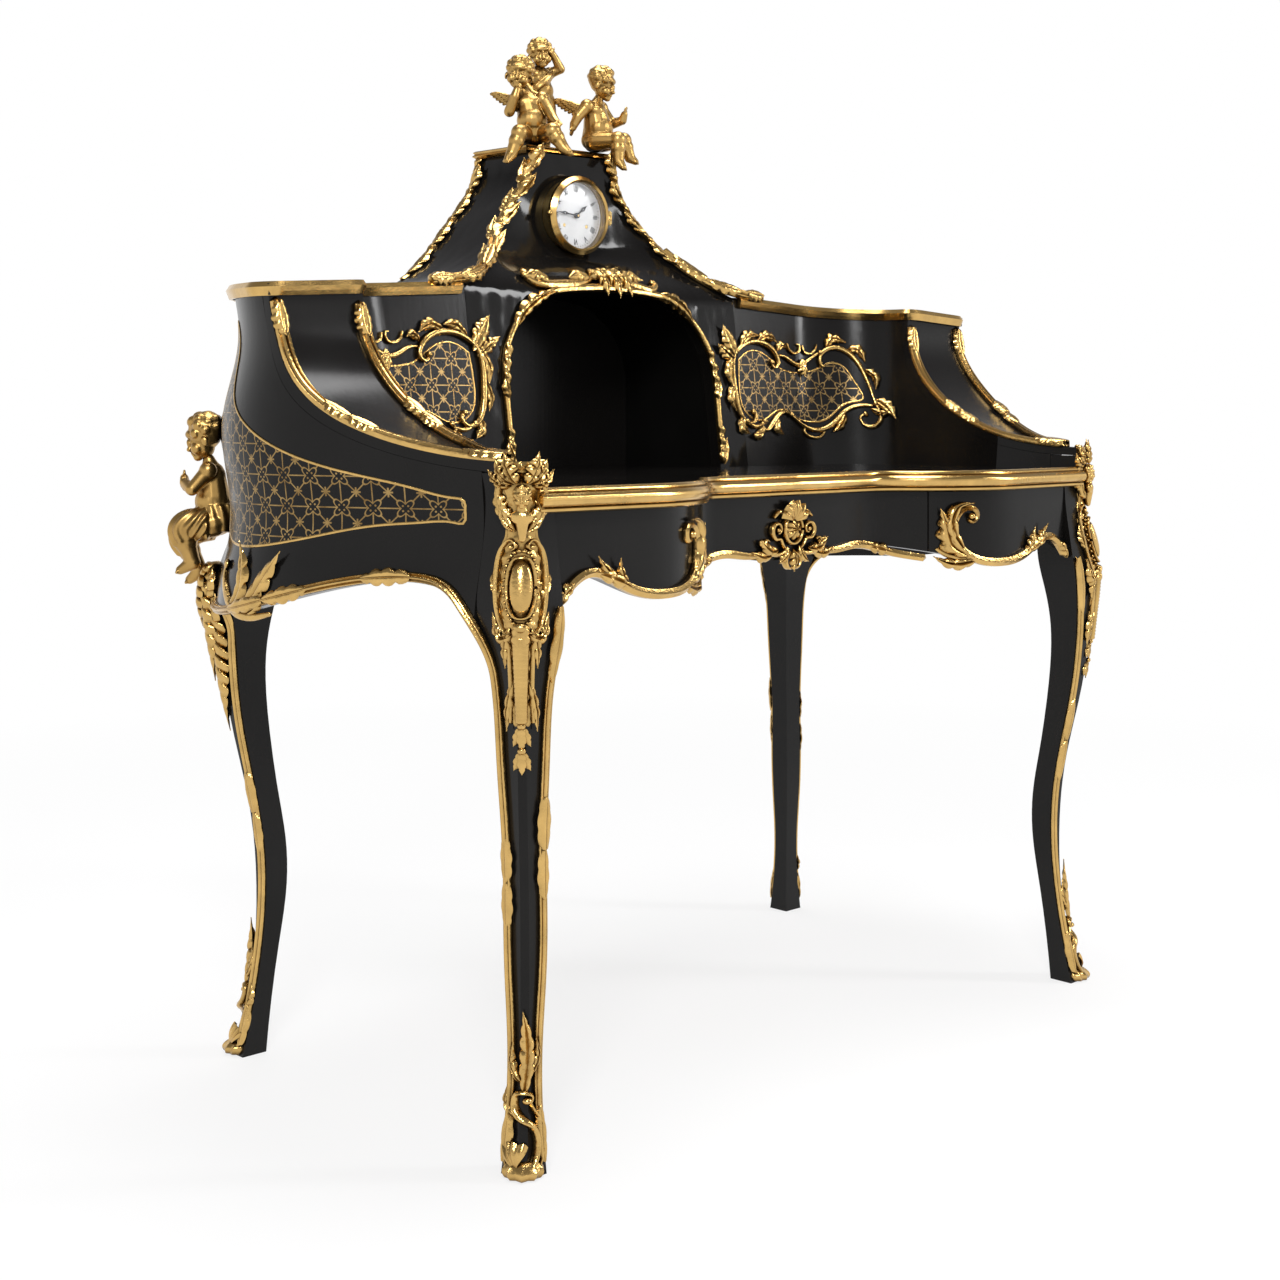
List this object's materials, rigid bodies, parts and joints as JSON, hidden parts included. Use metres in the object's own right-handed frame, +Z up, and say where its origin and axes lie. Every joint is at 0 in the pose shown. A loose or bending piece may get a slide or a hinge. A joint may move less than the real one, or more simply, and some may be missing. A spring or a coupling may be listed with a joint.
{
  "type": "writing desk",
  "caption": "Black lacquered rococo writing desk with gilt bronze mounts, swept arms, drawers, an arched niche and a clock tower topped by seated children.",
  "frame": {"origin": "middle of the footprint on the floor", "axes": "+X to the sitter's right as seen from the front, +Y from the front to the back, +Z up"},
  "size_m": [1.3968, 0.6994, 1.4176],
  "materials": {
    "lacquer": "polished black lacquer",
    "niche": "dark polished",
    "oak": "plain oak",
    "gilt": "burnished gilt",
    "movement": "satin",
    "enamel": "white enamel",
    "glass": "clear",
    "blued": "blued steel"
  },
  "bodies": {
    "desk": {"leg_front_left": "lacquer", "leg_front_right": "lacquer", "leg_back_left": "lacquer", "leg_back_right": "lacquer", "side_panel_left": "lacquer", "side_panel_right": "lacquer", "arm_cover_left": "lacquer", "arm_cover_right": "lacquer", "well_wall_left": "lacquer", "well_wall_right": "lacquer", "shelf_left": "lacquer", "shelf_right": "lacquer", "tower_side_left": "lacquer", "tower_side_right": "lacquer", "table_top": "lacquer", "back_panel": "lacquer", "tower_back": "lacquer", "centre_panel": "lacquer", "niche_lining": "niche", "platform": "lacquer", "drawer_dividers": "oak", "drawer_runners": "oak", "table_edge": "gilt", "arm_edges": "gilt", "cornice": "gilt", "tower_edges": "gilt", "side_apron_edges": "gilt", "apron_leaves": "gilt", "cartouche_left": "gilt", "cartouche_right": "gilt", "platform_edge": "gilt", "niche_edge": "gilt", "corner_mount_left": "gilt", "corner_mount_right": "gilt", "leg_drops": "gilt", "sabots": "gilt", "leg_strips": "gilt", "putto_left": "gilt", "putto_right": "gilt", "putto_back": "gilt", "corner_figure_left": "gilt", "corner_figure_right": "gilt", "clock_drum": "gilt", "clock_movement": "movement", "clock_dial": "enamel", "clock_hinge_pin": "gilt"},
    "drawer_left": {"drawer_left_front": "lacquer", "drawer_left_box": "oak", "drawer_left_mount": "gilt"},
    "drawer_centre": {"drawer_centre_front": "lacquer", "drawer_centre_box": "oak", "drawer_centre_mount": "gilt"},
    "drawer_right": {"drawer_right_front": "lacquer", "drawer_right_box": "oak", "drawer_right_mount": "gilt"},
    "clock_door": {"clock_bezel": "gilt", "clock_glass": "glass"},
    "minute_hand": {"minute_hand": "blued"},
    "hour_hand": {"hour_hand": "blued"}
  },
  "joints": [
    {"name": "drawer_left_slide", "type": "slide", "parent": "desk", "child": "drawer_left", "axis": [0, -1, 0], "range_m": [0, 0.26]},
    {"name": "drawer_centre_slide", "type": "slide", "parent": "desk", "child": "drawer_centre", "axis": [0, -1, 0], "range_m": [0, 0.24]},
    {"name": "drawer_right_slide", "type": "slide", "parent": "desk", "child": "drawer_right", "axis": [0, -1, 0], "range_m": [0, 0.26]},
    {"name": "clock_door_hinge", "type": "hinge", "parent": "desk", "child": "clock_door", "pos_m": [0.063, 0.19317, 1.137], "axis": [0, 0, 1], "range_deg": [0, 100]},
    {"name": "minute_hand_turn", "type": "hinge", "parent": "desk", "child": "minute_hand", "pos_m": [0, 0.19567, 1.137], "axis": [0, 1, 0], "continuous": true},
    {"name": "hour_hand_turn", "type": "hinge", "parent": "desk", "child": "hour_hand", "pos_m": [0, 0.19808, 1.137], "axis": [0, 1, 0], "continuous": true}
  ],
  "couplings": [
    {"joint": "hour_hand_turn", "follows": "minute_hand_turn", "ratio": 0.083333}
  ]
}
